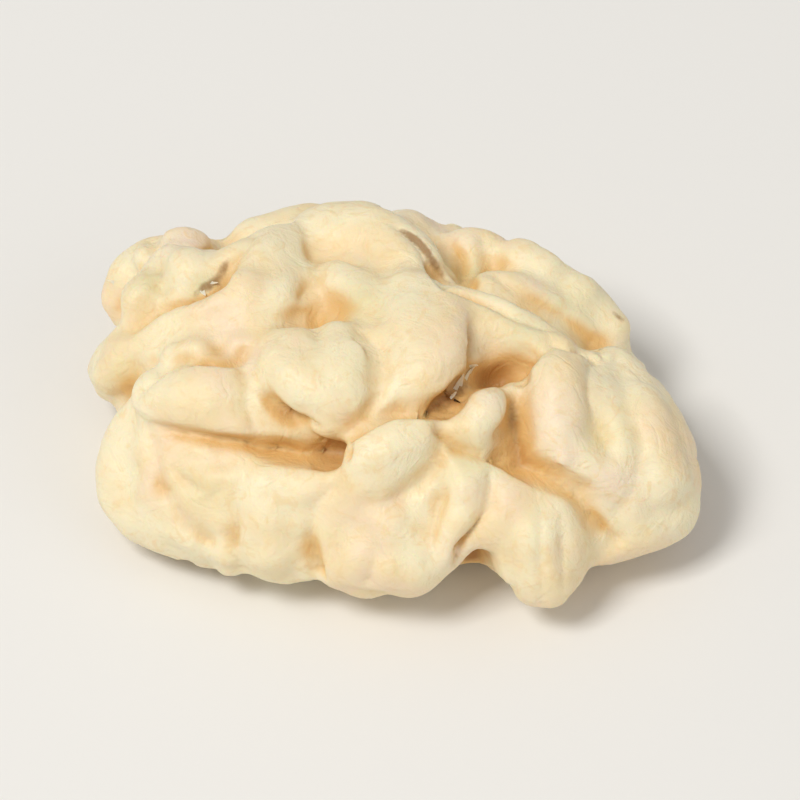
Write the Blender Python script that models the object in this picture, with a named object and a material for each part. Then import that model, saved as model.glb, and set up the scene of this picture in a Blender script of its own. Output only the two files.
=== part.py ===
"""Half of a peeled walnut kernel, lying on its flat side with its domed, folded side up.

The kernel grew as one piece, so it is one object. Its two lobes lie side by side along X, a near one at -Y and
a far one at +Y, with a cleft between them that runs in from the left tip. Rounded folds cover the dome, and
winding channels run through the flat side, where the thin walls inside the shell used to be.

Lengths are in millimetres until a shape is placed, and MM turns them into metres.
"""

import bisect
import math

import bmesh
import bpy
from mathutils import Matrix, Vector

MM = 0.001

# Driving dimensions, in millimetres: the middles of the folds lie on this rounded body
BODY_RISE = 8.0
BODY_UNDER = 2.2
BODY_LEVEL = 3.1
BODY_SHIFT = -1.6
CORE_INSET = 0.3

# The outline of the body from above, anticlockwise from the right end
OUTLINE = [
    (16.8, -1.8), (14.6, 1.4), (11.4, 4.4), (8.4, 7.0), (4.4, 8.6), (0.0, 9.0), (-6.0, 8.4), (-12.6, 5.6),
    (-16.4, 2.2), (-15.8, -3.4), (-14.2, -8.4), (-12.0, -11.8), (-8.6, -12.8), (-2.0, -12.8), (4.2, -12.2),
    (10.8, -10.2), (13.8, -7.4), (16.4, -4.8),
]

# The folds of the dome are drawn as they are seen from this direction
VIEW_AZIMUTH = math.radians(17.5)
VIEW_ELEVATION = math.radians(50.0)
SIGHT_LENGTH = 30.0
SIGHT_STEP = 0.25

# Roundness of the folds, and the fineness of the skin that is drawn over them
RING_SIDES = 14
END_ANGLES = (82, 62, 42, 22)
PATH_STEPS = 4
FIRST_VOXEL = 0.32
SURFACE_VOXEL = 0.34
SMOOTH_FACTOR = 0.5
SMOOTH_PASSES = 6
KEPT_SHARE = 0.15
REST_TOLERANCE = 0.03 * MM

CREAM = (0.93, 0.75, 0.47, 1.0)
WAXY_ROUGHNESS = 0.45

RIGHTWARD = Vector((math.cos(VIEW_AZIMUTH), math.sin(VIEW_AZIMUTH), 0.0))
EYEWARD = Vector((
    math.sin(VIEW_AZIMUTH) * math.cos(VIEW_ELEVATION),
    -math.cos(VIEW_AZIMUTH) * math.cos(VIEW_ELEVATION),
    math.sin(VIEW_ELEVATION),
))
UPWARD = EYEWARD.cross(RIGHTWARD)
CENTRE = Vector((0.0, BODY_SHIFT, BODY_LEVEL))

# Each fold is a list of points along its middle: across and up in the view, radius, lift off the body
SEEN_FOLDS = {
    "far_left_outer": [
        (-16.3, 7.4, 1.4, 0), (-15.0, 8.8, 1.9, 0), (-13.3, 9.8, 1.8, 0), (-12.0, 10.4, 1.4, 0),
    ],
    "far_left_inner": [(-11.7, 9.8, 1.4, 0), (-12.2, 8.5, 1.6, 0), (-13.9, 6.9, 1.5, 0)],
    "left_finger": [
        (-16.2, 3.1, 1.6, 0), (-14.6, 4.2, 1.9, 0.2), (-13.0, 5.4, 2.3, 0.2), (-11.0, 6.1, 2.4, 0.1),
    ],
    "upper_mound": [
        (-11.5, 7.6, 1.8, 0), (-9.6, 7.6, 2.3, 0.2), (-7.8, 8.4, 2.4, 0.1), (-6.6, 9.6, 2.2, 0),
    ],
    "upper_front": [(-10.6, 5.8, 2.0, 0.1), (-8.6, 5.9, 2.1, 0.2), (-6.9, 6.9, 2.0, 0.1)],
    "leaf_fold": [
        (-13.3, 1.8, 1.5, 0), (-11.4, 1.9, 2.2, 0.2), (-9.7, 1.8, 2.3, 0.3), (-8.5, 1.9, 1.8, 0.2),
    ],
    "cleft_bank": [(-13.0, 0.5, 0.9, 0.4), (-10.6, 0.2, 1.1, 0.6), (-8.2, 0.1, 1.1, 0.4)],
    "heart_left": [
        (-7.0, 4.0, 1.2, 0.6), (-5.6, 3.8, 1.7, 0.7), (-4.6, 2.4, 1.9, 0.7), (-3.9, 0.9, 1.7, 0.5),
    ],
    "heart_right": [(-3.3, 4.2, 1.7, 0.5), (-3.4, 2.6, 2.0, 0.7), (-3.6, 0.8, 1.6, 0.5)],
    "inner_lobe": [(-0.2, 4.2, 2.0, 0), (0.2, 2.8, 2.0, 0.1), (1.6, 2.8, 2.0, 0.3), (2.3, 4.2, 2.0, 0.3)],
    "crown": [(2.2, 4.6, 2.0, 0.3), (2.0, 6.2, 2.0, 0), (0.6, 7.0, 2.0, 0)],
    "top_mound": [(-4.2, 10.4, 2.3, 0), (-2.4, 10.4, 2.6, 0), (-0.8, 9.9, 2.4, 0), (0.5, 9.0, 2.0, 0)],
    "top_valley_bed": [(-4.6, 8.4, 1.5, -0.3), (-2.8, 8.0, 1.6, -0.3), (-1.4, 6.4, 1.5, -0.2)],
    "top_link": [(-8.4, 10.6, 1.5, 0), (-6.8, 11.0, 1.8, 0), (-5.0, 10.9, 2.0, 0)],
    "pocket_brow": [(3.2, 6.7, 1.5, 0), (5.0, 5.9, 1.7, 0), (6.6, 5.0, 1.7, 0), (8.2, 4.4, 1.3, 0)],
    "far_ridge": [
        (3.6, 10.0, 1.7, 0), (5.6, 9.6, 1.9, 0), (8.0, 8.6, 2.0, 0), (10.4, 6.9, 2.0, 0),
        (12.2, 5.0, 1.8, 0),
    ],
    "far_valley_bed": [(5.4, 8.0, 1.5, -0.4), (8.0, 7.0, 1.5, -0.4), (10.2, 5.5, 1.4, -0.4)],
    "right_inner": [(8.6, 3.2, 1.9, 0.2), (8.9, 1.6, 2.0, 0.3), (8.5, -0.1, 1.7, 0.2)],
    "right_rim": [
        (11.3, 3.2, 1.9, 0), (12.9, 1.4, 2.1, 0), (14.0, -0.8, 2.2, 0), (14.7, -2.8, 2.2, 0),
        (14.6, -4.6, 2.0, 0),
    ],
    "right_toe": [(14.2, -4.8, 1.9, 0), (12.8, -5.4, 1.7, 0), (11.4, -6.3, 1.4, 0)],
    "right_fill": [(10.9, 1.6, 1.7, 0), (11.6, -0.6, 1.9, 0), (12.8, -2.6, 1.9, 0)],
    "right_beads": [
        (7.8, -1.0, 1.2, 0), (9.5, -1.5, 1.5, 0.2), (11.1, -2.6, 1.5, 0.3), (12.3, -3.9, 1.4, 0.2),
    ],
    "knob": [(3.2, -0.2, 0.9, 0.6), (4.2, 0.7, 1.15, 0.8), (4.9, 1.3, 1.0, 0.7)],
    "knob_bed": [(2.6, -1.9, 1.5, 0), (3.6, -0.6, 1.5, 0), (4.2, -2.6, 1.4, 0)],
    "thumb": [
        (1.0, -0.4, 1.7, 0.4), (-0.3, -1.2, 2.0, 0.5), (-1.5, -2.4, 1.9, 0.4), (-2.7, -3.6, 1.5, 0.1),
    ],
    "near_brink": [
        (-13.8, -0.9, 1.1, 0), (-12.2, -2.2, 1.4, 0), (-9.8, -2.8, 1.6, 0.1), (-7.2, -3.0, 1.7, 0.1),
        (-4.6, -3.2, 1.7, 0),
    ],
    "brink_foot": [(-13.0, -3.3, 1.5, 0), (-10.8, -3.9, 1.7, 0.1), (-9.0, -4.3, 1.4, 0)],
    "left_shoulder": [
        (-14.8, 0.3, 1.3, 0), (-15.4, -1.6, 1.6, 0), (-15.2, -3.6, 1.8, 0), (-14.2, -5.4, 1.9, 0),
        (-12.6, -6.8, 1.8, 0),
    ],
    "left_cheek": [(-12.6, -4.4, 1.7, 0), (-10.8, -5.2, 1.9, 0.1), (-9.8, -6.4, 1.8, 0)],
    "near_left_lump": [(-7.5, -4.5, 1.6, 0.8), (-7.2, -5.9, 1.8, 0.7), (-6.2, -6.8, 1.6, 0.4)],
    "near_middle_left": [(-3.8, -5.0, 1.7, 0), (-3.2, -6.6, 1.8, 0), (-1.8, -7.6, 1.9, 0)],
    "near_middle_lump": [
        (-0.6, -5.0, 2.0, 0.1), (-0.8, -6.6, 2.0, 0.1), (0.4, -7.5, 1.9, 0), (1.4, -6.4, 1.8, 0.1),
    ],
    "bright_rib": [(4.2, -3.6, 1.0, 0.4), (3.4, -4.9, 1.25, 0.6), (2.6, -6.2, 1.2, 0.5)],
    "near_right_rib": [(5.9, -3.6, 1.4, 0), (6.5, -5.2, 1.7, 0.1), (6.8, -7.2, 1.7, 0)],
    "near_right_lump": [(8.0, -4.2, 1.5, 0), (8.5, -5.8, 1.9, 0.1), (8.5, -7.6, 1.9, 0)],
}

# Folds of the back, which the view hides: degrees round from +X, degrees above the level, radius, lift
BACK_FOLDS = {
    "right_low": [(6, -8, 1.7, 0), (18, 2, 2.0, 0), (28, -2, 1.9, 0), (36, -14, 1.6, 0)],
    "right_high": [(33, 16, 1.9, 0), (45, 13, 2.1, 0), (53, 0, 2.0, 0)],
    "middle_high": [(55, 30, 2.0, 0), (65, 20, 2.2, 0), (69, 6, 2.1, 0), (62, -10, 1.8, 0)],
    "middle_ridge": [(78, 34, 2.0, 0), (83, 20, 2.2, 0), (95, 15, 2.1, 0)],
    "middle_low": [(76, -10, 1.8, 0), (85, 0, 2.1, 0), (97, -4, 2.0, 0), (104, -18, 1.6, 0)],
    "left_high": [(103, 32, 2.0, 0), (108, 16, 2.2, 0), (117, 6, 2.1, 0), (123, -10, 1.8, 0)],
    "left_bend": [(120, 27, 1.8, 0), (129, 15, 2.0, 0), (141, 11, 1.9, 0)],
    "left_low": [(133, -8, 1.8, 0), (145, -3, 1.9, 0), (158, 2, 1.8, 0)],
}

# Folds of the flat side: x, y, radius, lift off the body
UNDER_FOLDS = {
    "near_rim": [
        (-13, -6.5, 1.6, -0.5), (-10.5, -10, 1.7, -0.5), (-5, -11, 1.7, -0.6), (0, -11.3, 1.8, -0.5),
        (4, -11, 1.6, -0.5),
    ],
    "near_right_rim": [(9.8, -9, 1.5, -0.5), (12, -7.5, 1.6, -0.5), (14, -5, 1.6, -0.5)],
    "far_rim": [
        (-13, 3.6, 1.6, -0.5), (-9, 6.3, 1.7, -0.6), (-3, 7.4, 1.8, -0.5), (3, 7.2, 1.8, -0.6),
        (8.5, 5.6, 1.7, -0.5),
    ],
    "near_palm": [
        (-11.6, -5.4, 1.6, -0.6), (-8.6, -7.6, 1.8, -0.7), (-5.2, -6.4, 1.8, -0.8),
        (-2.6, -8.4, 1.8, -0.7),
    ],
    "near_palm_end": [
        (0, -7.6, 1.6, -0.8), (2.6, -9, 1.6, -0.6), (5.4, -7.6, 1.6, -0.7), (8.4, -6.8, 1.6, -0.7),
    ],
    "near_lip": [
        (-13, -3.2, 1.5, -0.7), (-9.4, -3.8, 1.6, -0.9), (-5.2, -3.8, 1.6, -1), (-2.2, -4.4, 1.6, -1),
    ],
    "far_palm": [(-11, 3, 1.6, -0.6), (-8, 4.6, 1.7, -0.8), (-4.6, 3.6, 1.8, -0.9), (-1.4, 5, 1.8, -0.8)],
    "far_palm_end": [
        (1.4, 4.2, 1.6, -0.9), (4.2, 5.4, 1.6, -0.7), (7.4, 4, 1.6, -0.8), (10.4, 2.8, 1.5, -0.6),
    ],
    "far_lip": [
        (-13.4, 0.6, 1.5, -0.6), (-9.6, 1, 1.6, -0.9), (-5.4, 1, 1.6, -1.1), (-2.2, 1.8, 1.6, -1.1),
    ],
    "bridge": [
        (-0.4, -1.4, 1.4, -0.9), (2.6, -1.2, 1.8, -1.1), (6, -1.8, 1.9, -1.1), (9.6, -1.2, 1.9, -1),
        (13.4, -2, 1.8, -0.7),
    ],
}

# The kernel rests on these three low folds: x, y, radius, height
RESTING_FOLDS = {
    "near_left_rest": [(-9.6, -8.6, 1.9, 1.6), (-8.4, -8.2, 1.9, 1.6)],
    "near_right_rest": [(8.8, -6.4, 1.8, 1.5), (10.0, -5.8, 1.8, 1.5)],
    "far_rest": [(-2.0, 5.6, 1.9, 1.6), (-0.6, 5.8, 1.9, 1.6)],
}

# Channels are drawn like the folds and are DEEPER times as deep as they are wide
DEEPER = 3.2
SEEN_CHANNELS = {
    "main_cleft": [
        (-13.4, -0.3, 0.3, 0.9), (-11.6, -0.8, 0.4, 0.3), (-9, -1.05, 0.5, 0), (-6, -1.3, 0.6, 0),
        (-3.5, -1.4, 0.7, 0),
    ],
    "heart_notch": [
        (-7.3, 1.8, 0.3, 0.5), (-6.7, 1.1, 0.6, 0.3), (-5.9, 0.4, 0.65, 0.2), (-4.9, -0.6, 0.6, 0),
    ],
    "inner_crevice": [
        (1.2, 0.8, 0.2, 0.5), (2.5, 1.1, 0.35, 0.3), (3.4, 2.2, 0.4, 0.2), (4.2, 3.2, 0.5, 0),
    ],
    "pocket": [(4.4, 3.2, 0.6, 0), (5.4, 3.4, 0.8, 0), (6.6, 3.6, 0.5, 0)],
    "right_valley": [
        (6.3, 2.8, 0.4, 0), (6.2, 0.8, 0.5, 0), (6.2, -1.4, 0.55, 0), (7.4, -2.5, 0.5, 0),
        (9.4, -3.2, 0.5, 0), (11.4, -5.0, 0.4, 0),
    ],
    "near_gap": [(4.6, -4.6, 0.3, 0.2), (4.3, -6.2, 0.6, 0), (4.2, -7.8, 0.9, 0), (4.4, -9.2, 1.0, 0)],
    "left_crease": [
        (-13.6, 3.9, 0.2, 0.4), (-11.2, 4.3, 0.3, 0.5), (-9.2, 4.2, 0.35, 0.6), (-8.2, 5.2, 0.25, 0.5),
    ],
    "shoulder_crease": [
        (-13.7, -1.9, 0.2, 1.9), (-13.6, -3.6, 0.35, 2.0), (-12.4, -5.6, 0.35, 2.0),
        (-11.6, -7, 0.2, 2.0),
    ],
    "cheek_crease": [(-9.4, -3.6, 0.2, 1.8), (-9.3, -5.2, 0.4, 1.7), (-9.0, -7.4, 0.4, 1.6)],
    "upper_left_crease": [(-10.3, 9.2, 0.35, 0.4), (-10.9, 8.3, 0.4, 0.3), (-12.6, 7.0, 0.25, 0.3)],
}
UNDER_DEEPER = 2.0
UNDER_CHANNELS = {
    "under_cleft": [
        (-15, -0.8, 0.5, 0), (-12, -1.8, 0.8, 0), (-9, -1, 1.0, 0), (-6, -1.7, 1.1, 0),
        (-3, -1.2, 1.2, 0), (-1.6, -1.3, 0.9, 0),
    ],
    "near_hollow": [
        (-1.8, -2.4, 0.8, 0), (0.6, -4, 1.2, 0), (3.2, -4.9, 1.4, 0), (6, -4.5, 1.2, 0),
        (8.6, -4.9, 0.9, 0), (10.8, -4, 0.5, 0),
    ],
    "near_branch": [(2.6, -5.6, 0.8, 0), (2.2, -7.2, 0.7, 0), (0.4, -8.8, 0.5, 0)],
    "near_left_branch": [(-8.8, -1.6, 0.7, 0), (-9.8, -4.4, 0.7, 0), (-11.6, -6.4, 0.5, 0)],
    "far_hollow": [
        (-1.8, 0, 0.8, 0), (0.4, 1.6, 1.2, 0), (3.4, 2.2, 1.4, 0), (6.2, 1.4, 1.2, 0), (9, 1.6, 0.9, 0),
        (11.2, 0.6, 0.5, 0),
    ],
    "far_branch": [(-5.6, -0.8, 0.7, 0), (-6.2, 1.8, 0.7, 0), (-7.6, 3.4, 0.6, 0), (-9.8, 4.6, 0.4, 0)],
    "far_right_branch": [(3.8, 2.6, 0.8, 0), (5.2, 4.4, 0.6, 0), (4.8, 6.2, 0.4, 0)],
}


def between_values(a, b, c, d, t):
    """The value of a Catmull-Rom curve a share t of the way from b to c."""
    slope = (c - a) * t
    bend = (2 * a - 5 * b + 4 * c - d) * t ** 2
    twist = (3 * b - a - 3 * c + d) * t ** 3
    return 0.5 * (2 * b + slope + bend + twist)


def smooth_path(points, steps):
    """A smooth path through points that may hold any number of values each."""
    padded = [points[0], *points, points[-1]]
    path = []
    for a, b, c, d in zip(padded, padded[1:], padded[2:], padded[3:]):
        for step in range(steps):
            path.append(tuple(between_values(*values, step / steps) for values in zip(a, b, c, d)))
    path.append(tuple(float(value) for value in points[-1]))
    return path


def polar_outline():
    """The outline as (angle, reach) pairs round the centre, in order, with one spare pair at each end."""
    pairs = []
    for x, y in smooth_path([*OUTLINE, OUTLINE[0]], 6)[:-1]:
        offset = Vector((x, y)) - CENTRE.xy
        pairs.append((math.atan2(offset.y, offset.x), offset.length))
    pairs.sort()
    first = (pairs[0][0] + math.tau, pairs[0][1])
    last = (pairs[-1][0] - math.tau, pairs[-1][1])
    return [last, *pairs, first]


POLAR_OUTLINE = polar_outline()


def side_reach(x, y):
    """How far the outline lies from the centre in the direction of this place."""
    angle = math.atan2(y, x)
    index = bisect.bisect(POLAR_OUTLINE, (angle, 0.0))
    before, after = POLAR_OUTLINE[index - 1], POLAR_OUTLINE[index]
    share = (angle - before[0]) / (after[0] - before[0])
    return before[1] + (after[1] - before[1]) * share


def body_share(point):
    """The point's offset from the centre in shares of the body's reach, so that 1 long is on its surface."""
    offset = point - CENTRE
    side = side_reach(offset.x, offset.y)
    height = BODY_RISE if offset.z > 0 else BODY_UNDER
    return Vector((offset.x / side, offset.y / side, offset.z / height))


def plain_place(x, y, height):
    """A place given by x, y and height, with the way out pointing down."""
    return Vector((x, y, height)), Vector((0.0, 0.0, -1.0))


def on_body(point, lift):
    """Lifts a point of the rounded body off it, and gives the way out of the body there."""
    offset = point - CENTRE
    side = side_reach(offset.x, offset.y)
    height = BODY_RISE if offset.z > 0 else BODY_UNDER
    outward = Vector((offset.x / side ** 2, offset.y / side ** 2, offset.z / height ** 2)).normalized()
    return point + outward * lift, outward


def seen_place(across, height, lift):
    """A place of the body given as it is seen in the view, or the nearest one if the view misses it."""
    start = RIGHTWARD * across + UPWARD * height + EYEWARD * SIGHT_LENGTH
    steps = int(2 * SIGHT_LENGTH / SIGHT_STEP)
    sights = [start - EYEWARD * SIGHT_STEP * step for step in range(steps)]
    shares = [body_share(point).length for point in sights]
    best = next((index for index, share in enumerate(shares) if share < 1.0), shares.index(min(shares)))
    point = sights[best]
    return on_body(CENTRE + (point - CENTRE) / shares[best], lift)


def turned_place(around, above, lift):
    """A place of the body given by its degrees round the kernel and above its level."""
    turn = math.radians(around)
    tilt = math.radians(above)
    side = side_reach(math.cos(turn), math.sin(turn)) * math.cos(tilt)
    height = (BODY_RISE if above > 0 else BODY_UNDER) * math.sin(tilt)
    return on_body(CENTRE + Vector((side * math.cos(turn), side * math.sin(turn), height)), lift)


def under_place(x, y, lift):
    """A place of the flat side given by x and y."""
    offset = Vector((x, y, 0.0)) - CENTRE
    share = math.hypot(offset.x, offset.y) / side_reach(offset.x, offset.y)
    z = CENTRE.z - BODY_UNDER * math.sqrt(max(1.0 - share ** 2, 0.0))
    return on_body(Vector((x, y, z)), lift)


def ring_matrix(centre, tangent, outward, half_width, half_depth):
    """Places a unit circle across a fold: half_width sideways and half_depth along the way out."""
    side = tangent.cross(outward).normalized()
    out = side.cross(tangent).normalized()
    matrix = Matrix((side * half_width, out * half_depth, tangent)).transposed().to_4x4()
    matrix.translation = centre
    return matrix


def end_rings(station, tangent, direction, depth_ratio):
    """Rings that grow from a round end towards this station, smallest first."""
    centre, outward, radius = station
    rings = []
    for degrees in END_ANGLES:
        angle = math.radians(degrees)
        width = radius * math.cos(angle)
        reach = centre + tangent * direction * radius * math.sin(angle)
        rings.append(ring_matrix(reach, tangent, outward, width, width * depth_ratio))
    return rings


def fold_rings(stations, depth_ratio):
    """The rings of a fold through stations of (centre, way out, radius), with its round ends."""
    padded = [stations[0], *stations, stations[-1]]
    tangents = [(after[0] - before[0]).normalized() for before, after in zip(padded, padded[2:])]
    rings = end_rings(stations[0], tangents[0], -1.0, depth_ratio)
    for (centre, outward, radius), tangent in zip(stations, tangents):
        rings.append(ring_matrix(centre, tangent, outward, radius, radius * depth_ratio))
    rings.extend(reversed(end_rings(stations[-1], tangents[-1], 1.0, depth_ratio)))
    return rings


def skin_rings(bm, rings):
    """Joins the rings into one closed shape, by pushing an edge loop from each ring to the next."""
    first = bmesh.ops.create_circle(bm, cap_ends=True, segments=RING_SIDES, radius=1.0, matrix=rings[0])
    edges = list(first["verts"][0].link_faces[0].edges)
    for ring, following in zip(rings, rings[1:]):
        made = bmesh.ops.extrude_edge_only(bm, edges=edges)["geom"]
        verts = [item for item in made if isinstance(item, bmesh.types.BMVert)]
        moved = set(verts)
        edges = [item for item in made if isinstance(item, bmesh.types.BMEdge) and set(item.verts) <= moved]
        bmesh.ops.transform(bm, matrix=following @ ring.inverted(), verts=verts)
    bmesh.ops.contextual_create(bm, geom=edges)


def add_fold(bm, points, place, depth_ratio=1.0):
    """Adds a fold, or the shape of a channel. The place function says what its points mean."""
    stations = []
    for first, second, radius, lift in smooth_path(points, PATH_STEPS):
        centre, outward = place(first, second, lift)
        stations.append((centre, outward, radius))
    skin_rings(bm, fold_rings(stations, depth_ratio))


def add_core(bm):
    """Adds the mass under the folds: the rounded body, a little smaller."""
    core = bmesh.ops.create_uvsphere(bm, u_segments=60, v_segments=30, radius=1.0)["verts"]
    for vert in core:
        side = side_reach(vert.co.x, vert.co.y) - CORE_INSET
        height = (BODY_RISE if vert.co.z > 0 else BODY_UNDER) - CORE_INSET
        vert.co = CENTRE + Vector((vert.co.x * side, vert.co.y * side, vert.co.z * height))


def object_from(bm, name):
    """Turns a bmesh in millimetres into an object in metres."""
    bmesh.ops.recalc_face_normals(bm, faces=bm.faces)
    bmesh.ops.scale(bm, vec=(MM, MM, MM), verts=bm.verts)
    mesh = bpy.data.meshes.new(name)
    bm.to_mesh(mesh)
    bm.free()
    made = bpy.data.objects.new(name, mesh)
    bpy.context.scene.collection.objects.link(made)
    return made


def add_voxel_skin(kernel, name, voxel):
    skin = kernel.modifiers.new(name, "REMESH")
    skin.mode = "VOXEL"
    skin.voxel_size = voxel * MM
    skin.use_smooth_shade = True


def build_channels():
    """The channels between the folds, as one cutter."""
    bm = bmesh.new()
    for points in SEEN_CHANNELS.values():
        add_fold(bm, points, seen_place, DEEPER)
    for points in UNDER_CHANNELS.values():
        add_fold(bm, points, under_place, UNDER_DEEPER)
    channels = object_from(bm, "channels")
    add_voxel_skin(channels, "one skin", FIRST_VOXEL)
    channels.hide_render = True
    channels.display_type = "WIRE"
    return channels


def fold_kernel(channels):
    """The kernel with all its folds and channels, before the fine finish."""
    bm = bmesh.new()
    add_core(bm)
    for points in SEEN_FOLDS.values():
        add_fold(bm, points, seen_place)
    for points in BACK_FOLDS.values():
        add_fold(bm, points, turned_place)
    for points in UNDER_FOLDS.values():
        add_fold(bm, points, under_place)
    for points in RESTING_FOLDS.values():
        add_fold(bm, points, plain_place)
    kernel = object_from(bm, "walnut_kernel")
    add_voxel_skin(kernel, "one skin", FIRST_VOXEL)
    cut = kernel.modifiers.new("channels", "BOOLEAN")
    cut.operation = "DIFFERENCE"
    cut.solver = "EXACT"
    cut.object = channels
    add_voxel_skin(kernel, "even skin", SURFACE_VOXEL)
    soften = kernel.modifiers.new("soften", "SMOOTH")
    soften.factor = SMOOTH_FACTOR
    soften.iterations = SMOOTH_PASSES
    return kernel


def settle_modifiers(made):
    """Turns the result of the modifiers into the object's own mesh."""
    evaluated = made.evaluated_get(bpy.context.evaluated_depsgraph_get())
    mesh = bpy.data.meshes.new_from_object(evaluated)
    made.modifiers.clear()
    made.data = mesh


def shell_from(start):
    """All the vertices that are joined to this one."""
    start.tag = True
    shell = [start]
    for vert in shell:
        for edge in vert.link_edges:
            other = edge.other_vert(vert)
            if not other.tag:
                other.tag = True
                shell.append(other)
    return shell


def keep_outer_shell(bm):
    """Fills the sealed hollows and drops the loose scraps."""
    for vert in bm.verts:
        vert.tag = False
    shells = [shell_from(vert) for vert in bm.verts if not vert.tag]
    largest = max(shells, key=len)
    for shell in shells:
        if shell is not largest:
            bmesh.ops.delete(bm, geom=shell, context="VERTS")


def flatten_rest(bm, depth):
    """Brings what lies under the given height down or up to the plane it rests on."""
    for vert in bm.verts:
        if vert.co.z < depth:
            vert.co.z = 0.0


def centre_over_origin(bm):
    """Moves the kernel sideways until the middle of its box is over the origin."""
    xs = [vert.co.x for vert in bm.verts]
    ys = [vert.co.y for vert in bm.verts]
    shift = (-(min(xs) + max(xs)) / 2, -(min(ys) + max(ys)) / 2, 0.0)
    bmesh.ops.translate(bm, vec=shift, verts=bm.verts)


def change_mesh(made, *changes):
    bm = bmesh.new()
    bm.from_mesh(made.data)
    for change in changes:
        change(bm)
    bm.to_mesh(made.data)
    bm.free()


def kernel_material():
    material = bpy.data.materials.new("kernel")
    material.use_nodes = True
    shader = material.node_tree.nodes["Principled BSDF"]
    shader.inputs["Base Color"].default_value = CREAM
    shader.inputs["Roughness"].default_value = WAXY_ROUGHNESS
    return material


def build_kernel():
    channels = build_channels()
    kernel = fold_kernel(channels)
    settle_modifiers(kernel)
    bpy.data.objects.remove(channels)
    change_mesh(kernel, keep_outer_shell, lambda bm: flatten_rest(bm, 0.0))
    thin = kernel.modifiers.new("fewer faces", "DECIMATE")
    thin.ratio = KEPT_SHARE
    thin.use_collapse_triangulate = True
    settle_modifiers(kernel)
    change_mesh(kernel, lambda bm: flatten_rest(bm, REST_TOLERANCE), centre_over_origin)
    kernel.data.materials.append(kernel_material())
    for polygon in kernel.data.polygons:
        polygon.use_smooth = True


def main():
    for leftover in list(bpy.data.objects):
        bpy.data.objects.remove(leftover)
    build_kernel()


main()
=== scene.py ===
# %% [markdown]
# # A peeled walnut kernel
#
# This is one half of a walnut, taken out of its shell and peeled. Peeling bares the pale, waxy flesh, so what
# the eye sees is soft rounded folds, warm orange clefts between them, and a few shreds of skin that stayed
# behind. The solid model already has the folds. This lesson gives them a finer surface, draws in the small
# creases, and builds a flesh material that knows how deep in a cleft each spot lies.

# %% Load the solid model
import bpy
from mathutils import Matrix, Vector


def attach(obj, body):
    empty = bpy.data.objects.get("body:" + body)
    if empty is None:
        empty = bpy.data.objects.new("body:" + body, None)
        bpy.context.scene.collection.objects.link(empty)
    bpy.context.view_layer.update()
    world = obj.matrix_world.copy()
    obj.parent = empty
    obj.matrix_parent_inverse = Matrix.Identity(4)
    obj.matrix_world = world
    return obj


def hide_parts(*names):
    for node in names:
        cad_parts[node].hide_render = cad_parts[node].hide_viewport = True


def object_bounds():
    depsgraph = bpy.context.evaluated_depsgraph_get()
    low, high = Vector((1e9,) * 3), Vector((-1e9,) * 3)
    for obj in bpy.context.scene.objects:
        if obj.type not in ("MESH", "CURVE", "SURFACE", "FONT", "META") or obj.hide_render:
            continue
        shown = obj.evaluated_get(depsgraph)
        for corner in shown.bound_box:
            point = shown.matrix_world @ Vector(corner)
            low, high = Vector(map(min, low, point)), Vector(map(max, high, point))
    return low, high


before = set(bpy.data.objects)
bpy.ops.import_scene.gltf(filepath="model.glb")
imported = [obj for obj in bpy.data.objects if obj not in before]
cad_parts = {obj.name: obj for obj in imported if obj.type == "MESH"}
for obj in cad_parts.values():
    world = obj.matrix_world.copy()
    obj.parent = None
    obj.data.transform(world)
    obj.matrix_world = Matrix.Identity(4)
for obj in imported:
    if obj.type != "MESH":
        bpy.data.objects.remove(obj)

cad_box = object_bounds()
print("the solid kernel spans, in mm:", [round((high - low) * 1000, 1) for low, high in zip(*cad_box)])

# %% Tools for the lesson
import math
from collections import namedtuple

import bmesh
import bpy
import numpy as np
from mathutils import Matrix, Vector, noise
from mathutils.bvhtree import BVHTree
from mathutils.kdtree import KDTree

MM = 0.001
scene = bpy.context.scene

# %% [markdown]
# ## The camera comes first
#
# The folds of this kernel are described as the eye sees them, so the camera's direction is needed before
# anything is drawn. Three directions make a view: rightward and upward in the picture, and eyeward, from the
# kernel to the camera. A long lens from half a metre keeps the perspective as gentle as it is in a close
# photograph of something this small.

# %% Describe a view
EYE_DISTANCE = 0.5
View = namedtuple("View", "rightward upward eyeward eye")


def view_from(azimuth, elevation, middle=(0.0, 0.0)):
    """A view with its angles in degrees, its eye over a spot right and up of the origin, in millimetres."""
    turn = math.radians(azimuth)
    tilt = math.radians(elevation)
    rightward = Vector((math.cos(turn), math.sin(turn), 0.0))
    eyeward = Vector((math.sin(turn) * math.cos(tilt), -math.cos(turn) * math.cos(tilt), math.sin(tilt)))
    upward = eyeward.cross(rightward)
    eye = (rightward * middle[0] + upward * middle[1]) * MM + eyeward * EYE_DISTANCE
    return View(rightward, upward, eyeward, eye)


# %% Place the camera
CAMERA_AZIMUTH = 17.5
CAMERA_ELEVATION = 50.0
PICTURE_MIDDLE = (0.2, 3.3)
PICTURE_WIDTH = 45 * MM
SENSOR_WIDTH = 36.0
NEAREST_SEEN = 0.01

front = view_from(CAMERA_AZIMUTH, CAMERA_ELEVATION, PICTURE_MIDDLE)
camera = bpy.data.objects.new("camera", bpy.data.cameras.new("camera"))
scene.collection.objects.link(camera)
camera.data.sensor_width = SENSOR_WIDTH
camera.data.lens = SENSOR_WIDTH * EYE_DISTANCE / PICTURE_WIDTH
camera.data.clip_start = NEAREST_SEEN
camera.matrix_world = Matrix((front.rightward, front.upward, front.eyeward)).transposed().to_4x4()
camera.location = front.eye
scene.camera = camera
print("the lens is", round(camera.data.lens), "mm long")

# %% [markdown]
# ## A copy of the solid to work on
#
# The solid itself stays as it is. Its mesh is made of loose flat triangles almost a millimetre wide, so a
# copy is merged where the triangles touch, and one level of subdivision rounds its facets off.

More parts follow.
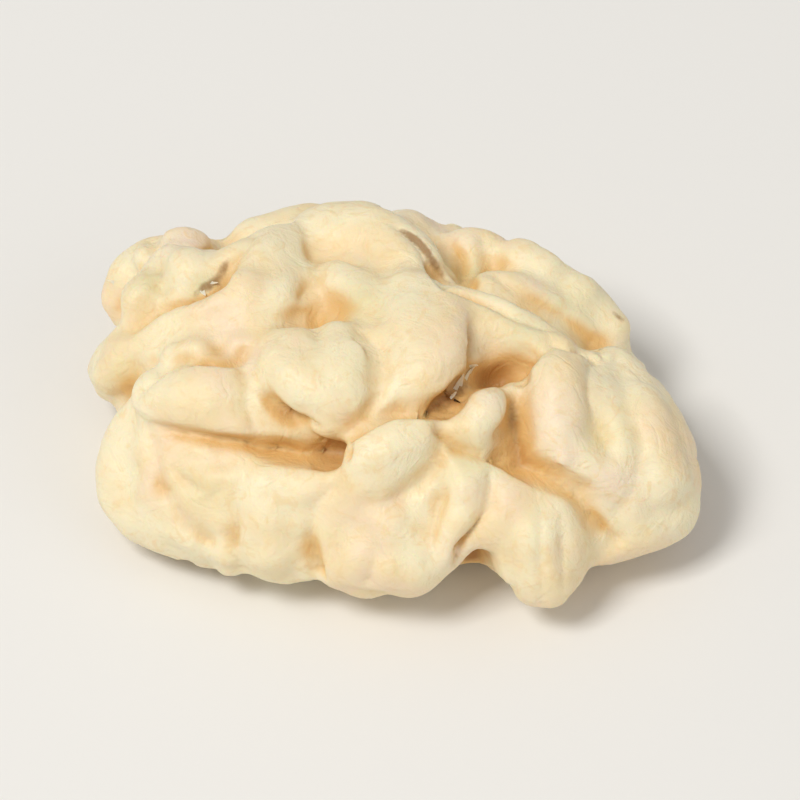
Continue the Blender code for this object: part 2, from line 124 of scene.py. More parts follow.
# %% Copy, merge and round the kernel's mesh
MERGE_DISTANCE = 0.001 * MM


def settle_modifiers(piece):
    """Turns the result of the modifiers into the piece's own mesh."""
    evaluated = piece.evaluated_get(bpy.context.evaluated_depsgraph_get())
    mesh = bpy.data.meshes.new_from_object(evaluated)
    piece.modifiers.clear()
    piece.data = mesh


def merged_copy(source):
    """A copy of an object's mesh, with the corners that lie together made one."""
    mesh = source.data.copy()
    bm = bmesh.new()
    bm.from_mesh(mesh)
    bmesh.ops.remove_doubles(bm, verts=bm.verts, dist=MERGE_DISTANCE)
    bm.to_mesh(mesh)
    bm.free()
    return mesh


flesh = bpy.data.objects.new("kernel_flesh", merged_copy(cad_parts["walnut_kernel"]))
scene.collection.objects.link(flesh)
rounding = flesh.modifiers.new("round", "SUBSURF")
rounding.levels = 1
rounding.render_levels = 1
settle_modifiers(flesh)
print("rounded copy:", len(flesh.data.vertices), "vertices")

# %% [markdown]
# ## Finding a place by eye
#
# Every lump and crease below is a short list of points as the eye sees them: millimetres right and up of the
# spot where the kernel's own middle appears in the picture. A ray from the eye through such a point finds its
# place on the flesh, so a drawing made over the picture lands on the folds, whatever their height.

# %% Read a mesh's points and find a drawn line on it
LINE_STEP = 0.15


def read_points(mesh, what="vertices", field="co"):
    """The mesh's points, or another field of three numbers, as rows of an array."""
    items = getattr(mesh, what)
    flat = np.empty(len(items) * 3, dtype=np.float32)
    items.foreach_get(field, flat)
    return flat.reshape(-1, 3).astype(np.float64)


def mesh_tree(mesh):
    """A search tree over a mesh's faces, for rays."""
    points = [tuple(point) for point in read_points(mesh)]
    return BVHTree.FromPolygons(points, [tuple(face.vertices) for face in mesh.polygons])


def sight(view, x, y):
    """The direction from the view's eye to the spot x right and y up of the origin, in millimetres."""
    return ((view.rightward * x + view.upward * y) * MM - view.eye).normalized()


def along_line(points, spacing):
    """Points strung evenly along a drawn line, every number of a point changing smoothly."""
    if len(points) == 1:
        return list(points)
    strung = []
    for start, end in zip(points, points[1:]):
        steps = max(1, round(math.hypot(end[0] - start[0], end[1] - start[1]) / spacing))
        strung += [tuple(a + (b - a) * step / steps for a, b in zip(start, end)) for step in range(steps)]
    return strung + [points[-1]]


def drawn_line(tree, points, view):
    """Spots on the surface under a line drawn in a view, with the two sizes drawn at each."""
    spots = []
    for x, y, first, second in along_line(points, LINE_STEP):
        spot = tree.ray_cast(view.eye, sight(view, x, y))[0]
        if spot is not None:
            spots.append((spot, first, second))
    return spots


# %% [markdown]
# ## Lumps that the solid leaves out
#
# The solid has the main folds, and wide open channels between them. The real folds press against each other,
# so most clefts are narrow. Here the folds are fattened, and the channels half closed, with chains of
# overlapping balls. A ball's height is counted from the backs of the folds round it: the distance from the
# eye is measured on a grid, and a closing bridges the channels. It takes the smallest distance nearby and
# then the largest of those. A voxel remesh then melts the balls and the copy into one skin of even little
# faces. Balls and a remesh were chosen over pulled vertices, because a wall that is pulled across a channel
# would pass through the wall that faces it. Last, the skin is swollen, remeshed and shrunk back by the same
# amount: pits narrower than twice that amount close when their walls meet, and everything wider comes back
# almost as it was.

# %% Measure the backs of the folds
GRID_STEP = 0.4
GRID_HALF = 50
BRIDGE = 4
BEYOND = EYE_DISTANCE + 20 * MM


def nearby(values, pick):
    """The extreme of the values within a round patch of the grid, for each of its spots."""
    result = values.copy()
    for down in range(-BRIDGE, BRIDGE + 1):
        for across in range(-BRIDGE, BRIDGE + 1):
            if down * down + across * across <= BRIDGE * BRIDGE:
                result = pick(result, np.roll(values, (down, across), (0, 1)))
    return result


def fold_backs(tree, view):
    """Distances from the eye to the folds' backs, on a square grid that is centred on the origin."""
    side = 2 * GRID_HALF + 1
    distances = np.full((side, side), BEYOND)
    for row in range(side):
        for column in range(side):
            x, y = ((step - GRID_HALF) * GRID_STEP for step in (column, row))
            distance = tree.ray_cast(view.eye, sight(view, x, y))[3]
            if distance is not None:
                distances[row, column] = distance
    return nearby(nearby(distances, np.minimum), np.maximum)


# %% Where the lumps lie
# Each point holds: right, up, ball radius, and how far the ball stands above the backs, all in millimetres.
LUMPS = {
    "finger": [(-15.9, 4.8, 1.3, 0.1), (-14.6, 6.1, 1.4, 0.1), (-12.8, 7.4, 1.5, 0.1), (-10.6, 8.1, 1.8, 0.1),
               (-8.6, 9.0, 1.9, 0.1)],
    "gap under the finger, half closed": [(-14.8, 4.7, 1.2, -0.1), (-13.4, 5.7, 1.5, 0.0),
                                          (-11.8, 6.3, 1.6, 0.0), (-10.2, 6.4, 1.6, 0.0),
                                          (-8.7, 6.7, 1.5, 0.0)],
    "finger's lower side": [(-13.4, 6.0, 1.3, 0.15), (-12.2, 6.5, 1.3, 0.2), (-10.8, 6.6, 1.3, 0.2),
                            (-9.4, 6.8, 1.3, 0.15)],
    "pit under the finger, closed": [(-12.2, 5.7, 1.1, -0.2), (-9.9, 5.9, 1.3, -0.2), (-8.6, 6.0, 1.3, -0.2)],
    "left lump": [(-13.0, 3.3, 1.9, 0.1), (-10.3, 3.4, 2.1, 0.2)],
    "left cleft, half closed": [(-13.6, 1.2, 1.1, -0.1), (-10.8, 0.7, 1.3, -0.15), (-8.0, 0.4, 1.3, -0.3),
                                (-5.6, 0.2, 1.2, -0.7), (-3.8, 0.2, 1.0, -1.6)],
    "corner beside the heart": [(-8.0, 3.6, 1.4, 0.0), (-7.2, 2.6, 1.7, -0.1), (-6.0, 1.7, 1.5, -0.2),
                                (-4.8, 1.3, 1.1, -0.5)],
    "heart's left half": [(-6.3, 5.1, 1.7, 0.4), (-4.9, 4.2, 1.8, 0.5), (-3.4, 3.2, 1.3, 0.5)],
    "heart's right half": [(-3.1, 4.9, 2.1, 0.5), (-2.8, 3.5, 1.6, 0.5)],
    "between heart and middle": [(-0.2, 4.8, 1.5, 0.0), (-0.5, 3.7, 1.6, 0.05), (-1.1, 2.8, 1.3, -0.05),
                                 (-1.8, 2.0, 1.0, -0.2)],
    "middle lobe": [(0.6, 7.8, 2.0, 0.2), (2.2, 6.2, 2.1, 0.3), (1.8, 5.0, 1.8, 0.2)],
    "far left lobe": [(-15.2, 9.0, 1.5, 0.1), (-14.6, 10.3, 1.7, 0.2), (-13.6, 11.2, 1.5, 0.2)],
    "far left lobe's near side": [(-14.2, 8.9, 1.4, 0.1), (-13.2, 9.6, 1.5, 0.1), (-12.6, 10.6, 1.6, 0.1)],
    "far left shoulder": [(-11.9, 11.5, 1.7, 0.1), (-11.7, 10.5, 1.5, 0.2)],
    "right valley, half closed": [(6.8, 3.4, 1.0, -0.7), (6.7, 1.0, 1.2, -0.7), (7.2, -0.6, 1.4, -0.5),
                                  (9.1, -1.6, 1.5, -0.4), (10.9, -2.8, 1.5, -0.4), (12.0, -4.0, 1.4, -0.3)],
    "knob": [(5.0, 2.7, 1.25, 0.3), (4.3, 1.7, 1.1, 0.3)],
    "front left lump": [(-7.3, -2.9, 1.6, 0.3), (-7.0, -4.9, 1.6, 0.3)],
    "front left hollow, closed": [(-5.2, -3.4, 1.5, 0.0), (-5.1, -4.7, 1.5, 0.0), (-5.0, -5.6, 1.3, -0.1)],
    "rim by the left lump, closed": [(-9.4, -3.2, 1.4, 0.0), (-9.4, -4.4, 1.3, 0.0), (-9.2, -5.5, 1.2, 0.0)],
    "rim farther left, closed": [(-11.8, -3.8, 1.3, 0.0), (-10.8, -4.5, 1.3, 0.0)],
    "front middle fold": [(-1.6, 0.0, 1.4, 0.3), (-0.4, 0.6, 1.6, 0.3), (1.1, 1.3, 1.4, 0.25)],
    "front middle": [(-2.8, -5.4, 2.0, 0.2), (0.8, -5.6, 2.1, 0.2)],
    "front pit, half closed": [(0.8, -1.8, 1.4, -0.2), (2.1, -2.4, 1.5, -0.2), (2.3, -3.8, 1.3, -0.2)],
    "bright front lump": [(4.0, -1.6, 1.2, 0.3), (3.5, -3.4, 1.2, 0.3), (2.7, -5.0, 1.2, 0.2)],
    "hollow beside it, closed": [(5.2, -1.6, 1.3, 0.0), (5.4, -3.0, 1.4, 0.0), (5.4, -4.0, 1.2, -0.1)],
    "front right lump": [(7.6, -4.2, 2.2, 0.3), (8.3, -6.5, 2.0, 0.3)],
    "rosy right lobe": [(9.0, 4.2, 1.8, 0.2), (9.1, 1.2, 1.7, 0.2)],
    "outer right lobe": [(13.4, 2.6, 1.9, 0.2), (14.6, -1.0, 2.1, 0.2)],
    "little bump": [(9.4, 0.1, 0.7, 0.4)],
    "far ridge": [(7.0, 10.9, 1.6, 0.1), (10.0, 9.0, 1.6, 0.1), (12.0, 7.2, 1.3, 0.1)],
}


# %% Lumps on the far side
# These are drawn from behind, with an eye that has gone round the kernel, in the same measures.
BEHIND_AZIMUTH = 200.0
BEHIND_ELEVATION = 30.0
LUMPS_BEHIND = {
    "pits of the far right end, closed": [(-11.0, 9.1, 1.0, 0.0), (-11.6, 7.8, 1.0, -0.1)],
    "pit beside the torn edge, closed": [(10.3, 5.3, 1.4, 0.0), (11.6, 5.0, 1.3, 0.0), (12.9, 4.9, 1.0, 0.0)],
    "pit near the table, closed": [(9.2, -0.6, 1.1, 0.0), (10.2, -0.2, 1.2, 0.0)],
    "fold of the far left end": [(13.8, 2.4, 1.0, 0.0), (15.0, 2.2, 0.9, 0.0)],
}

# %% Melt the lumps and the copy into one fine skin
BALL_SPACING = 0.5
BALL_DETAIL = 3
FINE_VOXEL = 0.21 * MM
SOFTENING = 0.5
SOFTENING_PASSES = 4
PIT_WIDTH = 0.4 * MM


def add_lumps(mesh, lumps, view):
    """Adds chains of balls to the mesh, each at its own height over the backs of the folds round it."""
    backs = fold_backs(mesh_tree(mesh), view)
    bm = bmesh.new()
    bm.from_mesh(mesh)
    for chain in lumps.values():
        for x, y, radius, stand in along_line(chain, BALL_SPACING):
            row, column = (round(value / GRID_STEP) + GRID_HALF for value in (y, x))
            centre = view.eye + sight(view, x, y) * (backs[row, column] + (radius - stand) * MM)
            place = Matrix.Translation(centre)
            bmesh.ops.create_icosphere(bm, subdivisions=BALL_DETAIL, radius=radius * MM, matrix=place)
    bm.to_mesh(mesh)
    bm.free()


def add_fine_skin(item):
    """Even little faces over everything that overlaps, softened a little."""
    fine_skin = item.modifiers.new("fine skin", "REMESH")
    fine_skin.mode = "VOXEL"
    fine_skin.voxel_size = FINE_VOXEL
    soften = item.modifiers.new("soften", "SMOOTH")
    soften.factor = SOFTENING
    soften.iterations = SOFTENING_PASSES


def add_swelling(item, amount):
    """Moves the whole skin outwards, or inwards with a negative amount."""
    swelling = item.modifiers.new("swelling", "DISPLACE")
    swelling.mid_level = 0.0
    swelling.strength = amount


add_lumps(flesh.data, LUMPS, front)
add_lumps(flesh.data, LUMPS_BEHIND, view_from(BEHIND_AZIMUTH, BEHIND_ELEVATION))
add_fine_skin(flesh)
add_swelling(flesh, PIT_WIDTH / 2)
add_fine_skin(flesh)
add_swelling(flesh, -PIT_WIDTH / 2)
settle_modifiers(flesh)
print("fine skin:", len(flesh.data.vertices), "vertices,", 2 * len(flesh.data.polygons), "triangles")

# %% [markdown]
# ## Creases, carved like a sculptor would
#
# Where two folds meet, the flesh dives into a sharp line and swells to both sides. So each crease pushes the
# vertices inwards, most on its line and less and less towards its rim, in a curve that is sharp in the middle
# and level at the rim. A bell curve would be the other choice, but it is round at its bottom too: that gives
# a soft gutter, which reads as dough and not as two folds.

# %% Push vertices in and out
EVEN_NORMALS = 6


def write_points(mesh, points):
    """Puts the rows of an array back as the mesh's points."""
    mesh.vertices.foreach_set("co", points.astype(np.float32).ravel())
    mesh.update()


def edge_ends(mesh):
    """The two vertices of every edge, as two arrays."""
    flat = np.empty(len(mesh.edges) * 2, dtype=np.int32)
    mesh.edges.foreach_get("vertices", flat)
    return flat[0::2], flat[1::2]


def soften_values(mesh, values, passes):
    """Averages each vertex's value with its neighbours', a number of times."""
    one, other = edge_ends(mesh)
    neighbours = np.bincount(one, minlength=len(values)) + np.bincount(other, minlength=len(values))
    for _ in range(passes):
        total = np.bincount(one, values[other], len(values)) + np.bincount(other, values[one], len(values))
        values = 0.5 * values + 0.5 * total / neighbours
    return values


def even_normals(mesh):
    """The vertices' normals, evened out over their neighbours so that pushes stay smooth."""
    normals = read_points(mesh, "vertex_normals", "vector")
    evened = np.stack([soften_values(mesh, normals[:, axis], EVEN_NORMALS) for axis in range(3)], axis=1)
    return evened / np.linalg.norm(evened, axis=1, keepdims=True)


def push_out(mesh, amounts):
    """Moves each vertex outwards by its own amount, in millimetres."""
    write_points(mesh, read_points(mesh) + even_normals(mesh) * amounts[:, None] * MM)


def carve(mesh, lines, view):
    """Pushes creases into the mesh. Each point of a line holds right, up, reach to a side, and depth."""
    tree = mesh_tree(mesh)
    points = read_points(mesh)
    finder = KDTree(len(points))
    for index, point in enumerate(points):
        finder.insert(point, index)
    finder.balance()
    depths = np.zeros(len(points))
    for line in lines.values():
        for spot, reach, depth in drawn_line(tree, line, view):
            for _, index, distance in finder.find_range(spot, reach * MM):
                push = depth * (1 - distance / (reach * MM)) ** 2
                depths[index] = max(depths[index], push)
    push_out(mesh, -depths)


# %% Where the creases run
CREASES = {
    "finger over left lump": [(-14.6, 3.6, 0.8, 0.3), (-13.2, 5.0, 1.0, 0.5), (-12.0, 5.6, 1.0, 0.45),
                              (-10.9, 5.6, 1.0, 0.45), (-9.9, 5.5, 0.9, 0.6), (-9.0, 5.5, 0.9, 0.55),
                              (-8.5, 6.1, 0.8, 0.3)],
    "far left lobe over finger": [(-16.0, 7.2, 0.8, 0.3), (-15.0, 7.5, 1.3, 0.9), (-13.5, 8.8, 1.5, 1.1),
                                  (-12.2, 9.2, 1.4, 1.0), (-11.2, 9.4, 1.3, 1.0), (-10.2, 10.1, 1.3, 1.1),
                                  (-9.6, 10.9, 1.2, 0.9), (-8.8, 11.7, 1.2, 0.6), (-8.0, 12.6, 1.0, 0.3)],
    "far left lobe, parted": [(-13.9, 12.8, 1.2, 0.4), (-13.5, 11.0, 1.3, 0.6), (-13.3, 9.5, 1.2, 0.6)],
    "finger's end from the top": [(-5.1, 13.0, 1.2, 0.3), (-4.6, 11.6, 1.4, 0.5), (-4.6, 10.4, 1.4, 0.5),
                                  (-5.2, 9.2, 1.4, 0.5)],
    "heart's notch": [(-4.5, 8.0, 0.9, 0.5), (-4.5, 7.1, 0.8, 0.5), (-4.3, 6.3, 0.7, 0.15)],
    "heart's right side": [(-2.0, 7.2, 0.9, 0.3), (-1.0, 6.3, 1.2, 0.5), (-0.7, 5.0, 1.2, 0.6),
                           (-0.9, 3.6, 1.0, 0.5), (-1.6, 2.4, 0.9, 0.4), (-2.4, 1.7, 0.8, 0.2)],
    "left cleft": [(-13.9, 1.9, 0.8, 0.3), (-12.3, 1.4, 1.0, 0.7), (-10.0, 1.0, 1.0, 0.9),
                   (-7.6, 0.7, 1.0, 1.0), (-5.5, 0.4, 1.0, 1.0), (-2.8, 0.3, 0.9, 0.8)],
    "corner beside the heart": [(-8.2, 4.3, 0.8, 0.4), (-7.0, 3.2, 0.9, 0.5), (-5.7, 2.4, 0.9, 0.5),
                                (-4.6, 1.8, 0.8, 0.4)],
    "left lump's right end": [(-8.6, 5.2, 0.9, 0.4), (-8.3, 4.2, 1.1, 0.5), (-8.4, 3.0, 1.2, 0.4),
                              (-8.0, 1.8, 1.1, 0.3)],
    "middle fold's upper side": [(-2.3, 1.3, 0.8, 0.2), (-0.6, 2.5, 1.0, 0.5), (1.0, 2.7, 1.1, 0.7),
                                 (2.2, 2.8, 1.1, 1.0), (3.2, 3.6, 1.0, 1.0), (3.8, 4.6, 0.9, 0.6)],
    "middle lobe's right side": [(4.4, 7.6, 1.0, 0.3), (4.5, 6.2, 1.1, 0.6), (4.1, 5.0, 1.0, 0.6)],
    "dark seam on the top": [(0.1, 13.1, 0.8, 0.3), (1.3, 12.1, 1.0, 0.4), (2.2, 10.8, 1.0, 0.5),
                             (2.9, 9.8, 1.0, 0.8), (4.3, 9.4, 1.1, 0.7), (5.6, 8.8, 1.0, 0.6),
                             (6.8, 8.1, 1.0, 0.5), (8.6, 7.4, 0.9, 0.4)],
    "green hollow": [(3.0, 12.0, 1.0, 0.3), (3.6, 10.9, 1.2, 0.7), (4.0, 9.8, 1.0, 0.7)],
    "far ridge's near side": [(4.9, 12.4, 1.0, 0.3), (5.4, 10.6, 1.3, 0.4), (7.4, 9.1, 1.8, 0.4),
                              (9.4, 7.9, 1.9, 0.5), (11.2, 6.5, 1.6, 0.6), (12.0, 5.6, 1.0, 0.4)],
    "rosy lobe's crown": [(7.0, 4.4, 1.0, 0.5), (7.6, 5.8, 1.1, 0.6), (8.8, 6.7, 1.1, 0.6),
                          (10.2, 6.3, 1.2, 0.7), (11.3, 5.6, 1.1, 0.6), (12.4, 5.6, 0.9, 0.3)],
    "between the right lobes": [(11.0, 5.4, 1.4, 0.35), (11.0, 3.6, 1.7, 0.5), (11.5, 1.6, 1.8, 0.6),
                                (12.0, 0.4, 1.4, 0.3)],
    "right lobe's fold": [(13.4, 2.8, 1.4, 0.1), (13.8, 0.6, 1.6, 0.25), (13.5, -1.6, 1.5, 0.25),
                          (12.6, -3.0, 1.2, 0.2)],
    "right valley": [(6.7, 3.6, 1.0, 0.6), (6.6, 1.4, 1.2, 0.9), (6.8, -0.2, 1.3, 0.9), (8.6, -1.0, 1.3, 0.8),
                     (10.2, -1.9, 1.3, 0.8), (11.2, -3.4, 1.2, 0.8), (12.4, -4.6, 1.1, 0.5)],
    "knob's foot": [(2.6, 1.5, 1.0, 0.7), (3.3, 0.7, 1.2, 0.8), (4.6, 0.3, 1.2, 0.75), (6.0, 0.1, 1.1, 0.7)],
    "middle fold's lower side": [(2.7, 1.0, 1.1, 0.5), (2.3, -0.4, 1.3, 0.5), (1.2, -1.5, 1.3, 0.4),
                                 (-0.4, -2.6, 1.2, 0.35), (-1.6, -2.6, 1.0, 0.15)],
    "bright lump's right side": [(5.4, -0.9, 1.0, 0.4), (5.2, -2.7, 1.0, 0.5), (4.5, -4.1, 1.0, 0.7),
                                 (3.8, -5.1, 1.0, 0.8), (3.5, -6.4, 1.0, 0.6)],
    "bright lump's left side": [(2.4, -2.2, 1.1, 0.5), (1.9, -4.0, 1.2, 0.5), (1.9, -5.8, 1.1, 0.3)],
    "front lump from middle": [(-3.6, -1.6, 1.0, 0.3), (-4.7, -2.8, 1.2, 0.4), (-4.9, -4.6, 1.2, 0.5),
                               (-4.5, -6.4, 1.1, 0.6)],
    "front lump from left": [(-8.6, -0.9, 1.0, 0.2), (-9.2, -2.2, 1.2, 0.4), (-9.2, -3.9, 1.2, 0.5),
                             (-9.3, -5.2, 1.0, 0.3), (-8.8, -6.2, 0.9, 0.2)],
    "front middle, parted": [(-1.6, -4.2, 1.0, 0.2), (-1.2, -5.6, 1.2, 0.4), (-1.6, -7.0, 1.1, 0.4)],
    "rim lobe on the left": [(-14.9, 2.8, 1.0, 0.2), (-14.0, 1.6, 1.3, 0.35), (-13.7, 0.2, 1.4, 0.4),
                             (-13.5, -1.4, 1.4, 0.55), (-12.9, -2.4, 1.2, 0.4)],
    "pit on the left": [(-13.6, -1.0, 0.9, 0.45), (-13.0, -1.9, 0.9, 0.5)],
    "little crease on the left": [(-12.6, -0.6, 0.9, 0.35), (-11.7, -1.5, 0.9, 0.4), (-11.0, -1.9, 0.8, 0.2)],
    "left front, lower": [(-12.4, -2.8, 1.0, 0.35), (-11.7, -3.9, 1.2, 0.4), (-10.6, -4.6, 1.2, 0.4)],
    "left front, bump": [(-10.6, -2.4, 1.0, 0.25), (-9.8, -1.6, 1.0, 0.25)],
    "hollow behind the heart": [(-5.4, 8.3, 1.8, 0.2), (-3.8, 8.3, 2.0, 0.25), (-2.4, 8.3, 1.7, 0.2)],
    "rib one": [(6.5, -3.4, 0.6, 0.1), (6.4, -5.8, 0.7, 0.22), (6.6, -7.8, 0.6, 0.1)],
    "rib two": [(8.1, -2.9, 0.6, 0.1), (8.1, -5.8, 0.7, 0.22), (8.2, -8.2, 0.6, 0.1)],
    "rib three": [(9.3, -3.4, 0.6, 0.1), (9.4, -5.4, 0.7, 0.2), (9.4, -7.4, 0.6, 0.1)],
}

carve(flesh.data, CREASES, front)
print("carved", len(CREASES), "creases")

# %% [markdown]
# ## Small folds all over
#
# Between the drawn creases, and on the sides that the picture hides, the flesh is still wrinkled. A smooth
# noise is zero along winding lines, much like the furrows of a walnut. The flesh is pushed in along those
# lines, but only where it turns away from the eye, because the drawn creases fill the front. Three more
# noises bend the lines, one for each axis. Blender also has a noise that gives three numbers at once, but its
# values changed from one start of the program to the next, so the plain one is asked three times. A gentler
# noise makes the swollen parts uneven everywhere. What would rise too high is then eased down, as if a thumb
# had pressed it, so that the fine kernel stays about as tall as the solid one.

# %% Furrow and swell the flesh
# Sizes and depths are in millimetres.
FURROW_SIZE = 5.0
FURROW_DEPTH = 0.75
FURROW_EDGE = 0.28
FURROWS_FADE = 0.45
BEND_FREQUENCY = 1.9
BEND_AMOUNT = 0.35
BEND_SHIFTS = (Vector((9.3, -1.5, -8.0)), Vector((0.0, 0.0, 0.0)), Vector((-2.6, 5.4, 3.7)))
SWELL_SIZES = ((2.8, 0.15), (1.1, 0.05))
SWELL_CORNER = Vector((7.0, 3.0, 5.0))
FLAT_NEAR_TABLE = 0.25
PRESS_FROM_TOP = 0.7
PRESS_ROOM = 0.9


def furrow(place):
    """One on the zero lines of a smooth noise, falling to nothing beside them."""
    bend = Vector([noise.noise(place * BEND_FREQUENCY + shift) for shift in BEND_SHIFTS]) * BEND_AMOUNT
    value = abs(noise.noise(place + bend))
    return max(0.0, 1 - value / FURROW_EDGE) ** 2


def relief(mesh):
    """How far each vertex is pushed out, in millimetres, by the furrows and swellings."""
    points = read_points(mesh) / MM
    normals = read_points(mesh, "vertex_normals", "vector")
    amounts = np.zeros(len(points))
    for index, (point, normal) in enumerate(zip(points, normals)):
        place = Vector(point)
        facing = Vector(normal).dot(front.eyeward)
        hidden = min(1.0, max(0.0, 1.0 - facing / FURROWS_FADE)) ** 2
        amount = -FURROW_DEPTH * hidden * furrow(place / FURROW_SIZE)
        for size, height in SWELL_SIZES:
            amount += height * noise.noise(place / size + SWELL_CORNER)
        amounts[index] = amount
    above = np.clip(points[:, 2] / FLAT_NEAR_TABLE, 0.0, 1.0)
    return amounts * above


def press_down(mesh, start, room):
    """Eases everything above the starting height down, so that it rises by less than the room over it."""
    points = read_points(mesh)
    over = np.maximum(points[:, 2] - start, 0.0)
    points[:, 2] = np.where(over > 0, start + room * np.tanh(over / room), points[:, 2])
    write_points(mesh, points)


push_out(flesh.data, relief(flesh.data))
solid_height = cad_box[1].z
press_down(flesh.data, solid_height - PRESS_FROM_TOP * MM, PRESS_ROOM * MM)
print("highest point after furrowing:", round(float(read_points(flesh.data)[:, 2].max()) / MM, 2), "mm")

# %% [markdown]
# ## How deep is each spot?
#
# Light that falls into a cleft bounces from wall to wall and comes out a warm orange. The material needs to
# know where that happens. From every vertex a few short rays leave in fixed directions; the share that hits
# flesh again says how closed in the spot is. The share is softened over the neighbours and kept on the mesh
# as an attribute, so it follows the surface from every side.

# %% Measure how closed in each vertex is
FEELERS = 28
FEELER_LENGTH = 5.0 * MM
FEELER_GAP = 0.05 * MM
HOLLOW_PASSES = 3


def spread_directions(count):
    """Directions spread evenly over a half sphere round +Z, denser towards the top."""
    directions = []
    for step in range(count):
        height = math.sqrt((step + 0.5) / count)
        turn = step * math.pi * (3 - math.sqrt(5))
        reach = math.sqrt(1 - height * height)
        directions.append(Vector((reach * math.cos(turn), reach * math.sin(turn), height)))
    return directions


def closed_in(mesh):
    """The share of short rays from each vertex that hit the mesh again, nearer hits counting more."""
    tree = mesh_tree(mesh)
    feelers = spread_directions(FEELERS)
    points = read_points(mesh)
    normals = read_points(mesh, "vertex_normals", "vector")
    shares = np.zeros(len(points))
    for index in range(len(points)):
        normal = Vector(normals[index])
        turn = normal.to_track_quat("Z", "Y").to_matrix()
        origin = Vector(points[index]) + normal * FEELER_GAP
        hits = 0.0
        for feeler in feelers:
            distance = tree.ray_cast(origin, turn @ feeler, FEELER_LENGTH)[3]
            if distance is not None:
                hits += 1.0 - distance / FEELER_LENGTH
        shares[index] = hits / FEELERS
    return shares


def keep_values(mesh, name, values):
    """Keeps one number for each vertex on the mesh, under a name that a material can read."""
    attribute = mesh.attributes.new(name, "FLOAT", "POINT")
    attribute.data.foreach_set("value", values.astype(np.float32))


hollow = soften_values(flesh.data, closed_in(flesh.data), HOLLOW_PASSES)
print("closed in, as a share: median", round(float(np.median(hollow)), 3))
print("the most closed in:", round(float(hollow.max()), 3))

# %% Paint warm shade into the shallow hollows too
# Each spot holds: right, up, reach and strength. A shallow hollow turns golden in shade though it catches few
# rays, so its shade is painted at these spots.
SHALLOW_SHADE_SPOTS = [(1.8, 6.4, 2.6, 0.09), (13.8, 1.6, 2.6, 0.09), (-0.5, 11.6, 2.6, 0.06), (-7.0, 11.6, 2.2, 0.06),
              (0.5, -5.6, 2.0, 0.06), (-11.8, -3.6, 1.6, 0.1), (-3.4, 8.6, 1.7, 0.13), (-4.6, 9.6, 1.3, 0.11),
              (10.2, 7.2, 1.3, 0.12), (11.2, 6.4, 1.1, 0.2), (7.8, 8.8, 1.6, 0.15), (-10.2, 5.7, 0.9, 0.22),
              (6.6, 0.2, 1.3, 0.22), (6.7, 2.0, 1.0, 0.15), (-13.3, -1.7, 0.9, 0.24),
              (-12.2, -1.2, 0.7, 0.15), (-9.1, -4.2, 0.9, 0.16), (-4.9, -4.9, 0.9, 0.16),
              (-12.0, 5.8, 0.8, 0.1), (11.2, -3.6, 1.1, 0.15), (2.6, 0.3, 1.0, 0.14), (4.2, -5.6, 0.9, 0.3),
              (-6.6, 2.5, 1.3, 0.22), (-15.0, 3.9, 0.9, 0.16), (5.8, 5.0, 1.2, 0.1)]


def tint_spots(mesh, spots, view):
    """A value for each vertex that is high near the listed spots."""
    tree = mesh_tree(mesh)
    points = read_points(mesh)
    values = np.zeros(len(points))
    for x, y, reach, strength in spots:
        spot = tree.ray_cast(view.eye, sight(view, x, y))[0]
        if spot is None:
            print("no flesh is seen at", x, y)
            continue
        distances = np.linalg.norm(points - np.array(spot), axis=1)
        values = np.maximum(values, strength * np.exp(-((distances / (reach * MM)) ** 2)))
    return values


# The painted shade of the listed spots is added to how closed in each vertex is.
keep_values(flesh.data, "hollow", hollow + tint_spots(flesh.data, SHALLOW_SHADE_SPOTS, front))
print("warmed", len(SHALLOW_SHADE_SPOTS), "shallow hollows")

# %% Darken the torn edges, the seams and the deep end of the left cleft
# Each line's points hold: right, up, reach and strength. The torn edges keep shreds of brown skin. At the end
# of the left cleft the same brown is painted shade. The seam on the top, the heart's notch and the far rim
# are drawn darker along their lines.
SKIN_AND_SHADE_LINES = {
    "seam on the top": [(0.2, 12.9, 0.22, 0.9), (0.9, 12.4, 0.3, 1.3), (1.6, 11.8, 0.3, 1.3),
                        (2.2, 10.8, 0.28, 1.1), (2.8, 9.9, 0.25, 0.8), (4.2, 9.3, 0.22, 0.6)],
    "torn edge of the far left lobe": [(-11.4, 9.2, 0.3, 0.8), (-10.4, 9.9, 0.35, 1.1),
                                       (-9.9, 10.3, 0.35, 1.2), (-9.6, 10.9, 0.3, 0.8),
                                       (-9.2, 11.4, 0.25, 0.5)],
    "torn edge of the middle lobe": [(1.4, 2.5, 0.35, 0.9), (2.3, 2.7, 0.4, 1.2), (3.0, 3.3, 0.4, 1.2),
                                     (3.7, 4.1, 0.4, 1.1), (4.0, 4.5, 0.3, 0.9)],
    "notch of the heart": [(-4.9, 7.3, 0.25, 0.6), (-4.3, 6.9, 0.25, 0.7)],
    # Painted shade in the deepest end of the left cleft.
    "end of the left cleft": [(-4.4, 0.3, 0.4, 0.2), (-3.0, 0.3, 0.4, 0.45)],
    "far rim": [(12.1, 8.3, 0.25, 0.6), (12.7, 7.8, 0.3, 0.8)],
}
SKIN_AND_SHADE_SPREAD = 3


def skin_and_shade_lines(mesh, lines, view):
    """A value for each vertex that is high along the drawn lines."""
    tree = mesh_tree(mesh)
    points = read_points(mesh)
    values = np.zeros(len(points))
    for line in lines.values():
        for spot, reach, strength in drawn_line(tree, line, view):
            distances = np.linalg.norm(points - np.array(spot), axis=1)
            values = np.maximum(values, strength * np.exp(-((distances / (reach * MM)) ** 2)))
    return values


skin_and_shade = skin_and_shade_lines(flesh.data, SKIN_AND_SHADE_LINES, front)
keep_values(flesh.data, "skin_and_shade", soften_values(flesh.data, skin_and_shade, SKIN_AND_SHADE_SPREAD))
print("darkened", len(SKIN_AND_SHADE_LINES), "seams")
